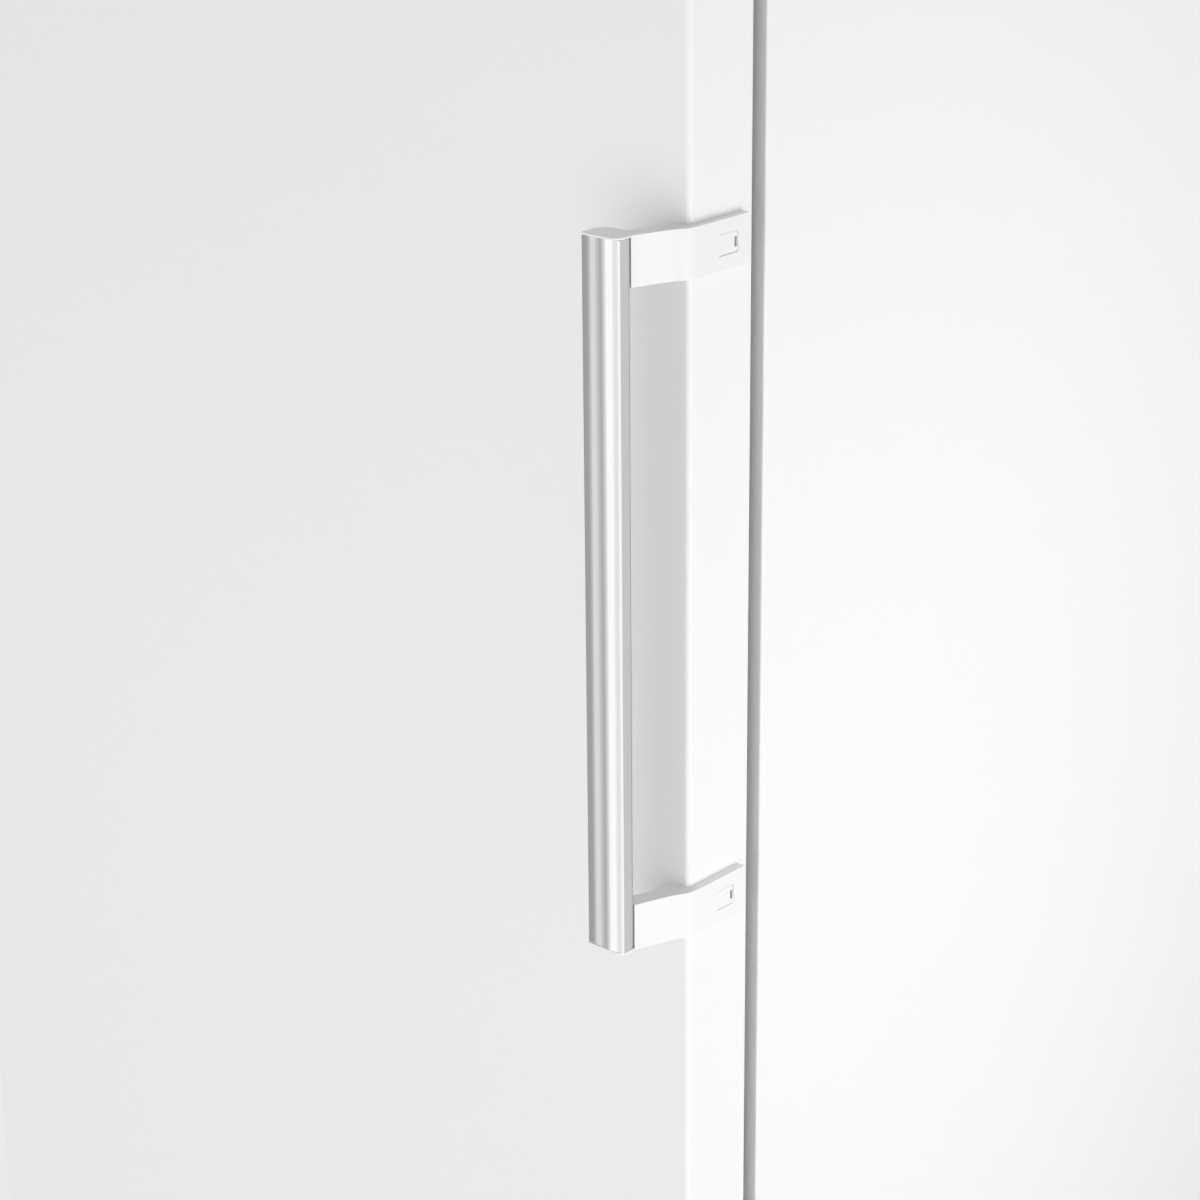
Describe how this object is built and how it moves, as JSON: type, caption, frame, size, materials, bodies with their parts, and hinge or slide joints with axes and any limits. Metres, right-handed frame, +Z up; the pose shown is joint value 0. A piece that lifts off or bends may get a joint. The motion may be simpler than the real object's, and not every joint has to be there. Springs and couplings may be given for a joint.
{
  "type": "single door refrigerator",
  "caption": "Tall free-standing refrigerator with one full-height white door hinged on the left, an aluminium bar handle on plastic brackets, glass shelves, drawers and door bins.",
  "frame": {"origin": "on the floor, in the middle of the bounding box in plan", "axes": "+Z up, +Y back towards the wall, +X to the right as seen from the front; the door faces -Y"},
  "size_m": [0.605, 0.6934, 1.86],
  "materials": {
    "white_steel": "satin",
    "white_plastic": "satin",
    "liner_plastic": "gloss",
    "bar_aluminium": "satin",
    "zinc_steel": "satin",
    "screw_steel": "satin",
    "black_steel": "satin",
    "copper": "satin",
    "seal_rubber": "matte",
    "black_rubber": "matte",
    "black_plastic": "matte",
    "grey_plastic": "satin",
    "shelf_glass": "polished",
    "clear_plastic": "gloss",
    "lamp_plastic": "satin",
    "evaporator_aluminium": "satin",
    "foam": "matte"
  },
  "bodies": {
    "cabinet": {"side_panel_left": "white_steel", "side_panel_right": "white_steel", "top_panel": "white_plastic", "back_panel": "zinc_steel", "underbody_panel": "zinc_steel", "base_frame": "zinc_steel", "inner_liner": "liner_plastic", "cabinet_foam": "foam", "plinth_grille": "white_plastic", "top_hinge_bracket": "zinc_steel", "bottom_hinge_bracket": "zinc_steel", "hinge_pins": "screw_steel", "top_hinge_cover": "white_plastic", "cabinet_screws": "screw_steel", "compressor": "black_steel", "compressor_grommets": "black_rubber", "start_relay_box": "black_plastic", "evaporating_tray": "black_plastic", "condenser_tube": "black_steel", "condenser_wires": "black_steel", "condenser_clips": "black_plastic", "refrigerant_lines": "copper", "cord_inlet": "black_plastic", "air_duct_cover": "liner_plastic", "evaporator_plate": "evaporator_aluminium", "fan_motor": "black_plastic", "control_housing": "liner_plastic", "lamp_cover": "lamp_plastic", "glass_shelf_crisper": "shelf_glass", "glass_shelf_1": "shelf_glass", "glass_shelf_2": "shelf_glass", "glass_shelf_3": "shelf_glass", "glass_shelf_4": "shelf_glass", "shelf_trims": "white_plastic"},
    "door": {"door_outer_panel": "white_steel", "door_bottom_cap": "white_plastic", "door_top_cap": "white_plastic", "hinge_bushes": "white_plastic", "door_inner_liner": "liner_plastic", "door_foam": "foam", "door_gasket": "seal_rubber", "handle_bar": "bar_aluminium", "handle_bracket_upper": "white_plastic", "handle_bracket_lower": "white_plastic", "handle_screw_covers": "white_plastic", "handle_screws": "screw_steel"},
    "fan_rotor": {"fan_rotor": "grey_plastic"},
    "thermostat_knob": {"thermostat_knob": "grey_plastic"},
    "crisper_drawer_left": {"crisper_drawer_left": "clear_plastic"},
    "crisper_drawer_right": {"crisper_drawer_right": "clear_plastic"},
    "front_foot_left": {"front_foot_left": "black_plastic"},
    "front_foot_right": {"front_foot_right": "black_plastic"},
    "rear_roller_left": {"rear_roller_left": "black_plastic"},
    "rear_roller_right": {"rear_roller_right": "black_plastic"},
    "door_bin_upper": {"door_bin_upper": "clear_plastic"},
    "door_bin_lower": {"door_bin_lower": "clear_plastic"},
    "bottle_bin": {"bottle_bin": "clear_plastic"},
    "bottle_retainer": {"bottle_retainer": "white_plastic"},
    "dairy_bin": {"dairy_bin": "clear_plastic"},
    "dairy_flap": {"dairy_flap": "clear_plastic"}
  },
  "joints": [
    {"name": "door_hinge", "type": "hinge", "parent": "cabinet", "child": "door", "pos_m": [-0.2895, -0.28125, 0.954], "axis": [0, 0, -1], "range_deg": [0, 110]},
    {"name": "crisper_left_slide", "type": "slide", "parent": "cabinet", "child": "crisper_drawer_left", "axis": [0, -1, 0], "range_m": [0, 0.055]},
    {"name": "crisper_right_slide", "type": "slide", "parent": "cabinet", "child": "crisper_drawer_right", "axis": [0, -1, 0], "range_m": [0, 0.055]},
    {"name": "fan_spin", "type": "hinge", "parent": "cabinet", "child": "fan_rotor", "pos_m": [-0.0025, 0.23775, 1.64], "axis": [0, 1, 0], "continuous": true},
    {"name": "thermostat_turn", "type": "hinge", "parent": "cabinet", "child": "thermostat_knob", "pos_m": [0.0525, -0.12725, 1.774], "axis": [0, -1, 0], "range_deg": [0, 270]},
    {"name": "front_foot_left_screw", "type": "slide", "parent": "cabinet", "child": "front_foot_left", "axis": [0, 0, 1], "range_m": [-0.012, 0]},
    {"name": "front_foot_right_screw", "type": "slide", "parent": "cabinet", "child": "front_foot_right", "axis": [0, 0, 1], "range_m": [-0.012, 0]},
    {"name": "rear_roller_left_spin", "type": "hinge", "parent": "cabinet", "child": "rear_roller_left", "pos_m": [-0.2645, 0.28875, 0.0115], "axis": [1, 0, 0], "continuous": true},
    {"name": "rear_roller_right_spin", "type": "hinge", "parent": "cabinet", "child": "rear_roller_right", "pos_m": [0.2595, 0.28875, 0.0115], "axis": [1, 0, 0], "continuous": true},
    {"name": "dairy_bin_lift", "type": "slide", "parent": "door", "child": "dairy_bin", "axis": [0, 0, 1], "range_m": [0, 0.02]},
    {"name": "dairy_flap_hinge", "type": "hinge", "parent": "dairy_bin", "child": "dairy_flap", "pos_m": [-0.0025, -0.24035, 1.606], "axis": [1, 0, 0], "range_deg": [0, 80]},
    {"name": "door_bin_upper_lift", "type": "slide", "parent": "door", "child": "door_bin_upper", "axis": [0, 0, 1], "range_m": [0, 0.02]},
    {"name": "door_bin_lower_lift", "type": "slide", "parent": "door", "child": "door_bin_lower", "axis": [0, 0, 1], "range_m": [0, 0.02]},
    {"name": "bottle_bin_lift", "type": "slide", "parent": "door", "child": "bottle_bin", "axis": [0, 0, 1], "range_m": [0, 0.02]},
    {"name": "bottle_retainer_slide", "type": "slide", "parent": "bottle_bin", "child": "bottle_retainer", "axis": [1, 0, 0], "range_m": [-0.15, 0.15]}
  ]
}
